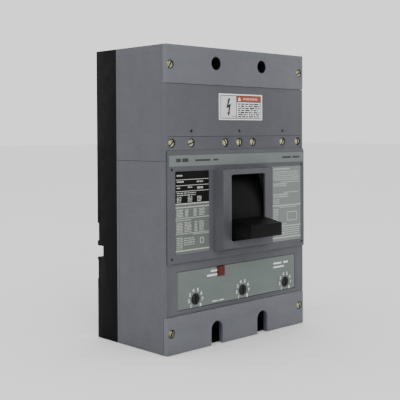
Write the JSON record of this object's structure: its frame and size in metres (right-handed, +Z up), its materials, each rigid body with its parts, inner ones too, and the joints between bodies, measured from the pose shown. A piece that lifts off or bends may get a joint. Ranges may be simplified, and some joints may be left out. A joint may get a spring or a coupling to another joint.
{
  "type": "molded case circuit breaker",
  "caption": "Molded case breaker: grey covers on a black base, toggle handle in a raised bezel, trip unit with adjustment dials and push-to-trip button.",
  "frame": {"origin": "centre of the rear mounting face", "axes": "+X to the right seen from the front, +Y out of the rear mounting face so the front faces -Y, +Z up towards the line terminals"},
  "size_m": [0.1906, 0.1366, 0.2794],
  "materials": {
    "grey_moulding": "fine moulded satin, thermoset case plastic",
    "black_moulding": "satin glass-filled thermoset",
    "handle_black": "satin",
    "label_green": "satin printed film",
    "label_white": "satin printed film",
    "button_red": "satin",
    "phenolic": "moulded phenolic",
    "fibre_and_steel": "vulcanised fibre walls with steel splitter plates",
    "screw_brass": "yellow plated steel",
    "copper": null,
    "steel": "zinc plated",
    "spring_steel": "oiled spring wire",
    "aluminium": "tin plated extrusion"
  },
  "bodies": {
    "housing": {"arc_chute_a": "fibre_and_steel", "arc_chute_b": "fibre_and_steel", "arc_chute_c": "fibre_and_steel", "base_housing": "black_moulding", "cover_screw_1": "screw_brass", "cover_screw_2": "screw_brass", "cover_screw_3": "screw_brass", "cover_screw_4": "screw_brass", "cover_screw_5": "screw_brass", "cover_screw_6": "screw_brass", "cover_screw_7": "screw_brass", "cradle": "steel", "escutcheon_plate": "grey_moulding", "flexible_braid_a": "copper", "flexible_braid_b": "copper", "flexible_braid_c": "copper", "hazard_label": "label_white", "instruction_label": "label_green", "line_lug_a": "aluminium", "line_lug_b": "aluminium", "line_lug_c": "aluminium", "line_strap_a": "copper", "line_strap_b": "copper", "line_strap_c": "copper", "line_terminal_cover": "grey_moulding", "load_lug_a": "aluminium", "load_lug_b": "aluminium", "load_lug_c": "aluminium", "load_strap_a": "copper", "load_strap_b": "copper", "load_strap_c": "copper", "load_terminal_cover": "grey_moulding", "lower_cover": "grey_moulding", "mechanism_frame_left": "steel", "mechanism_frame_right": "steel", "mechanism_spring_left": "spring_steel", "mechanism_spring_right": "spring_steel", "nameplate_strip": "label_green", "rating_label": "label_green", "terminal_cover_screw_1": "screw_brass", "terminal_cover_screw_2": "screw_brass", "terminal_cover_screw_3": "screw_brass", "terminal_cover_screw_4": "screw_brass", "trip_button_spring": "spring_steel", "trip_unit_case": "phenolic", "trip_unit_plate": "label_green", "upper_cover": "grey_moulding"},
    "handle": {"handle": "handle_black", "handle_yoke": "steel"},
    "crossbar": {"crossbar": "phenolic", "contact_arm_a": "copper", "contact_arm_b": "copper", "contact_arm_c": "copper"},
    "upper_link": {"upper_link": "steel"},
    "lower_link": {"lower_link": "steel"},
    "dial_left": {"adjustment_dial_left": "handle_black"},
    "dial_centre": {"adjustment_dial_centre": "handle_black"},
    "dial_right": {"adjustment_dial_right": "handle_black"},
    "trip_button": {"push_to_trip_button": "button_red"},
    "trip_bar": {"trip_bar": "phenolic"}
  },
  "joints": [
    {"name": "handle_swing", "type": "hinge", "parent": "housing", "child": "handle", "pos_m": [0, -0.0316, -0.0197], "axis": [-1, 0, 0], "range_deg": [0, 25], "deforming": ["mechanism_spring_left", "mechanism_spring_right"]},
    {"name": "crossbar_swing", "type": "hinge", "parent": "housing", "child": "crossbar", "pos_m": [0, -0.0216, 0.0103], "axis": [-1, 0, 0], "range_deg": [0, 30], "deforming": ["flexible_braid_a", "flexible_braid_b", "flexible_braid_c"]},
    {"name": "upper_link_swing", "type": "hinge", "parent": "housing", "child": "upper_link", "pos_m": [0, -0.0516, 0.0003], "axis": [-1, 0, 0], "range_deg": [0, 28.5]},
    {"name": "lower_link_swing", "type": "hinge", "parent": "crossbar", "child": "lower_link", "pos_m": [0, -0.03372, 0.0173], "axis": [-1, 0, 0], "range_deg": [-59.2, 0]},
    {"name": "button_push", "type": "slide", "parent": "housing", "child": "trip_button", "axis": [0, 1, 0], "range_m": [0, 0.003], "stiffness_N_per_m": 400, "deforming": ["trip_button_spring"]},
    {"name": "trip_bar_turn", "type": "hinge", "parent": "housing", "child": "trip_bar", "pos_m": [0, -0.0796, -0.0597], "axis": [1, 0, 0], "range_deg": [0, 15.7]},
    {"name": "dial_left_turn", "type": "hinge", "parent": "housing", "child": "dial_left", "pos_m": [-0.0593, -0.1016, -0.0932], "axis": [0, -1, 0], "range_deg": [-135, 135]},
    {"name": "dial_centre_turn", "type": "hinge", "parent": "housing", "child": "dial_centre", "pos_m": [0.0039, -0.1016, -0.0932], "axis": [0, -1, 0], "range_deg": [-135, 135]},
    {"name": "dial_right_turn", "type": "hinge", "parent": "housing", "child": "dial_right", "pos_m": [0.0671, -0.1016, -0.0932], "axis": [0, -1, 0], "range_deg": [-135, 135]}
  ],
  "couplings": [
    {"joint": "crossbar_swing", "follows": "handle_swing", "ratio": 1.2},
    {"joint": "upper_link_swing", "follows": "handle_swing", "ratio": 1.136},
    {"joint": "lower_link_swing", "follows": "handle_swing", "ratio": -2.364},
    {"joint": "trip_bar_turn", "follows": "button_push", "rad_per_m": 90.8}
  ]
}
